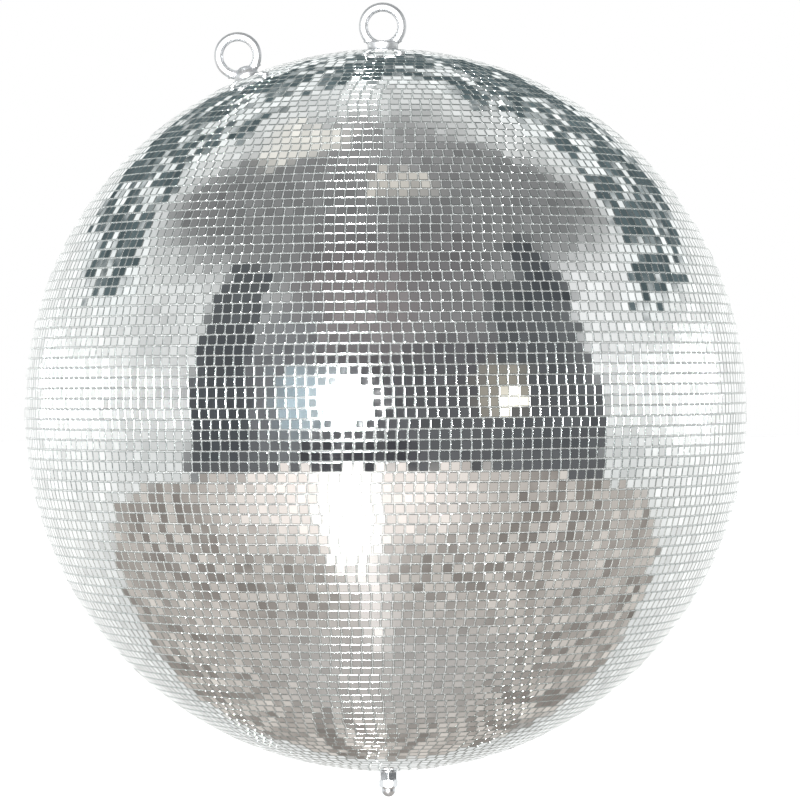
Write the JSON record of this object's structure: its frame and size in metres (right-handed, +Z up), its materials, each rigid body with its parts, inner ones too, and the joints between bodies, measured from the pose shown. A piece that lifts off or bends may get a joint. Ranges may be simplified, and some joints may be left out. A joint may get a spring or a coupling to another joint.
{
  "type": "mirror ball",
  "caption": "Mirror ball covered in small square mirrors, hung by a ring eye on a through spindle, with a second safety eye beside it.",
  "frame": {"origin": "middle of the main eye's opening, where the hook bears", "axes": "+Z up along the spindle, away from the ball; +Y through both rings' openings; the safety eye leans towards -X"},
  "size_m": [0.7499, 0.75, 0.828],
  "materials": {
    "mirror_tiles": "small silvered glass mirrors with bright cut edges",
    "core_plastic": "moulded white plastic",
    "polished_steel": "bright plated steel",
    "zinc_steel": "zinc plated",
    "plate_steel": "pressed sheet steel, zinc plated",
    "bush_brass": "turned",
    "tube_aluminium": "drawn tube",
    "cover_aluminium": "bright turned disc"
  },
  "bodies": {
    "spindle": {"main_eye": "polished_steel", "eye_lock_pin": "zinc_steel", "centre_rod": "zinc_steel", "bottom_washer": "zinc_steel", "lock_nut": "zinc_steel", "cap_nut": "polished_steel"},
    "ball": {"bottom_bush": "bush_brass", "bottom_cover_disc": "cover_aluminium", "bottom_plate": "plate_steel", "bottom_plate_nuts": "zinc_steel", "bottom_plate_screws": "zinc_steel", "centre_tube": "tube_aluminium", "core_lower_shell": "core_plastic", "core_upper_shell": "core_plastic", "safety_eye": "polished_steel", "safety_nut": "zinc_steel", "safety_spacer": "plate_steel", "safety_spring_washer": "zinc_steel", "safety_strap": "plate_steel", "safety_washer": "zinc_steel", "seam_band": "core_plastic", "strap_nuts": "zinc_steel", "strap_screws": "zinc_steel", "tile_band_01": "mirror_tiles", "tile_band_02": "mirror_tiles", "tile_band_03": "mirror_tiles", "tile_band_04": "mirror_tiles", "tile_band_05": "mirror_tiles", "tile_band_06": "mirror_tiles", "tile_band_07": "mirror_tiles", "tile_band_08": "mirror_tiles", "tile_band_09": "mirror_tiles", "tile_band_10": "mirror_tiles", "tile_band_11": "mirror_tiles", "tile_band_12": "mirror_tiles", "tile_band_13": "mirror_tiles", "tile_band_14": "mirror_tiles", "tile_band_15": "mirror_tiles", "tile_band_16": "mirror_tiles", "tile_band_17": "mirror_tiles", "tile_band_18": "mirror_tiles", "tile_band_19": "mirror_tiles", "tile_band_20": "mirror_tiles", "tile_band_21": "mirror_tiles", "tile_band_22": "mirror_tiles", "tile_band_23": "mirror_tiles", "top_bush": "bush_brass", "top_cover_disc": "cover_aluminium", "top_plate": "plate_steel", "top_plate_nuts": "zinc_steel", "top_plate_screws": "zinc_steel"}
  },
  "joints": [
    {"name": "ball_spin", "type": "hinge", "parent": "spindle", "child": "ball", "pos_m": [0, 0, -0.39975], "axis": [0, 0, 1], "continuous": true}
  ]
}
